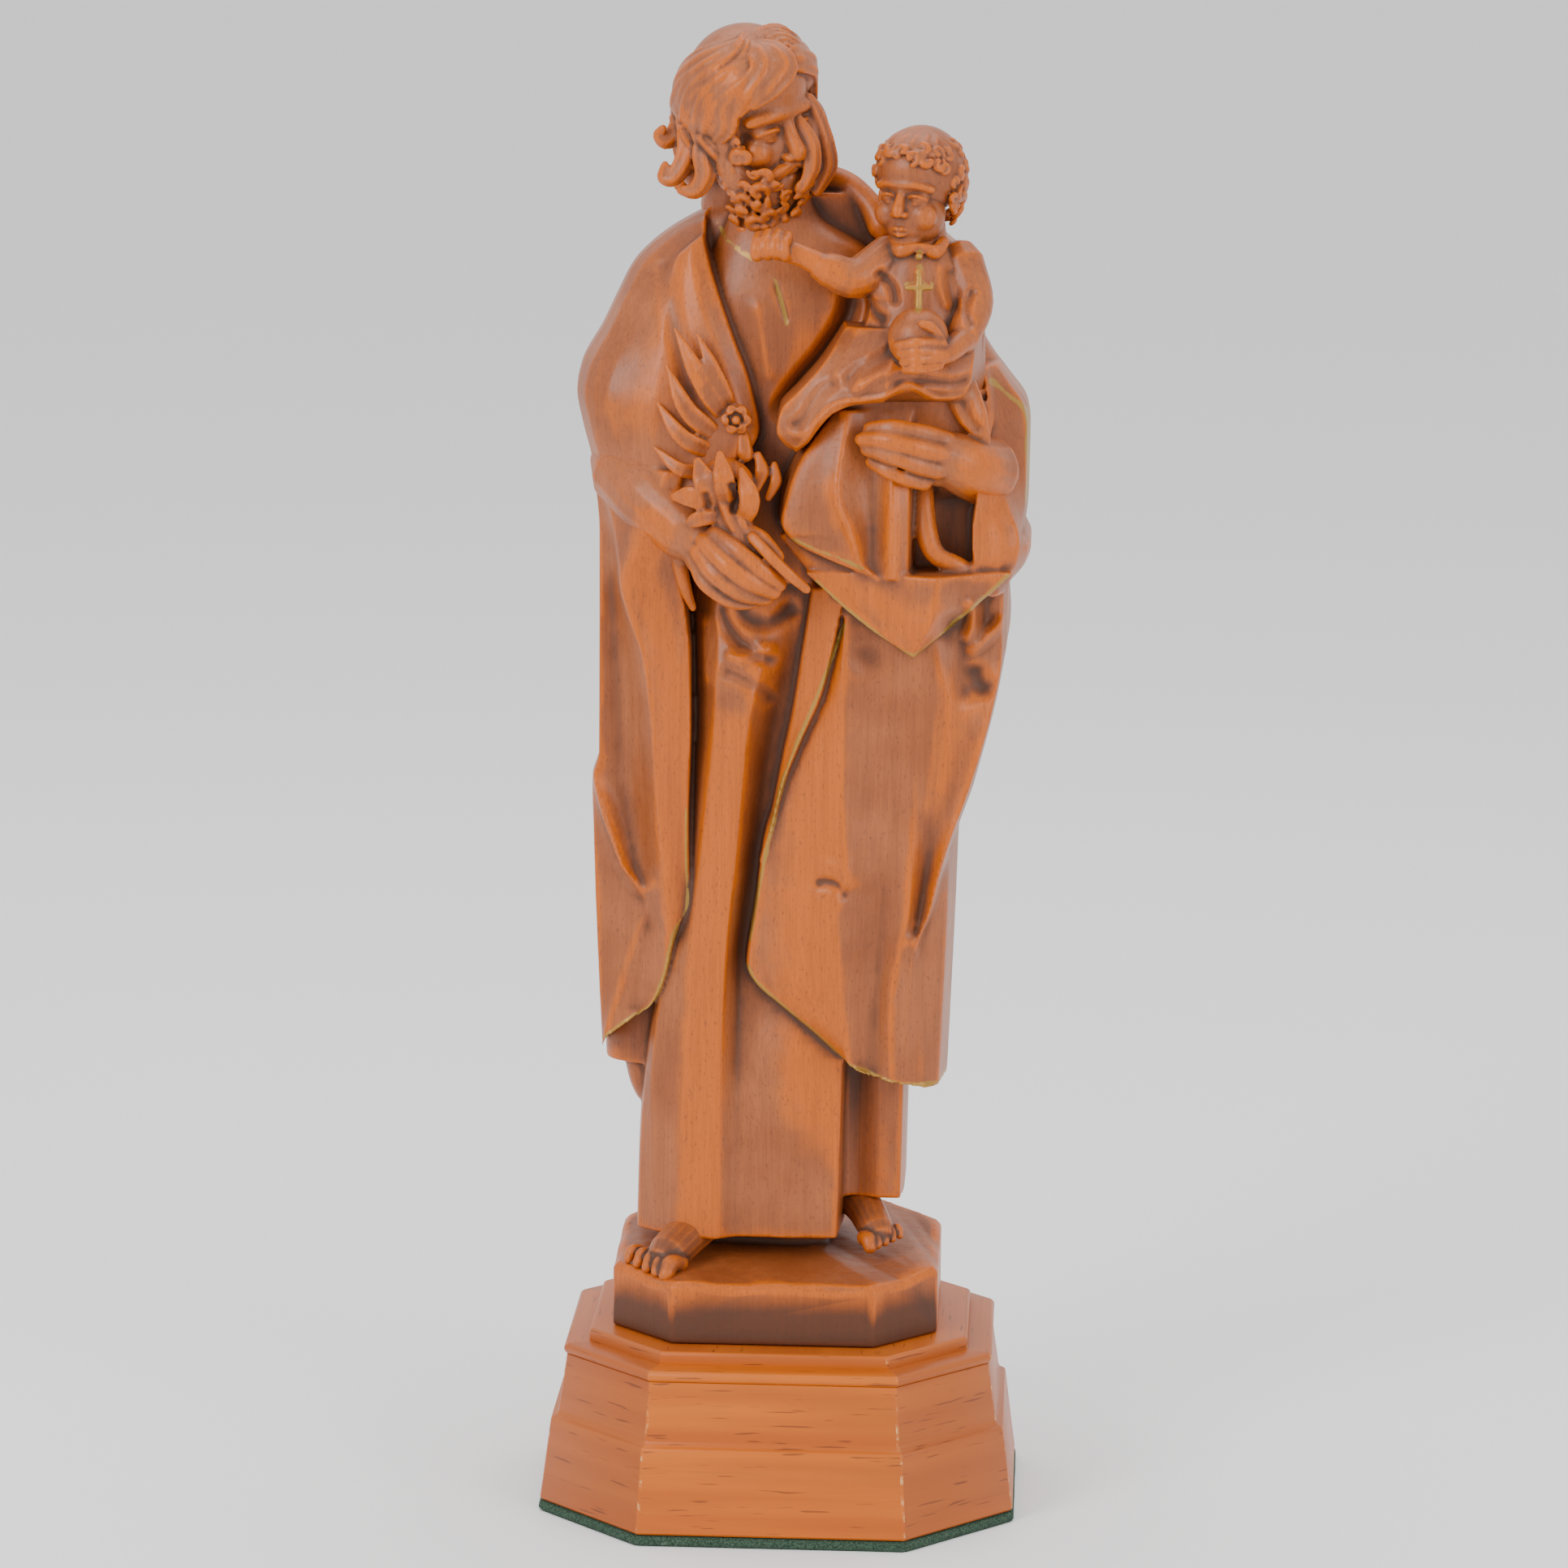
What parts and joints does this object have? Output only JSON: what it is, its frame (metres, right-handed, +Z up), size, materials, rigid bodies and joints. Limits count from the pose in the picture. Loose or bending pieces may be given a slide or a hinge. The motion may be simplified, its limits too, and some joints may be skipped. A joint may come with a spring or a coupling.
{
  "type": "wooden saint statue",
  "caption": "Carved wooden standing saint with a child on the arm and a lily stalk in hand, on a moulded octagonal plinth with green felt beneath.",
  "frame": {"origin": "centre of the underside of the felt, on the surface that the statue stands on", "axes": "+Z up through the figure, -Y out of the figure's front, +X to the viewer's right"},
  "size_m": [0.0966, 0.0866, 0.2999],
  "materials": {
    "carved_wood": "stained and glazed reddish brown with worn orange edges, gilded hems, satin wax",
    "plinth_wood": "golden mahogany with short dark pores, satin varnish",
    "felt": "dark green wool felt"
  },
  "bodies": {
    "root": {"saint_and_child": "carved_wood", "plinth": "plinth_wood", "felt_pad": "felt"}
  },
  "joints": []
}
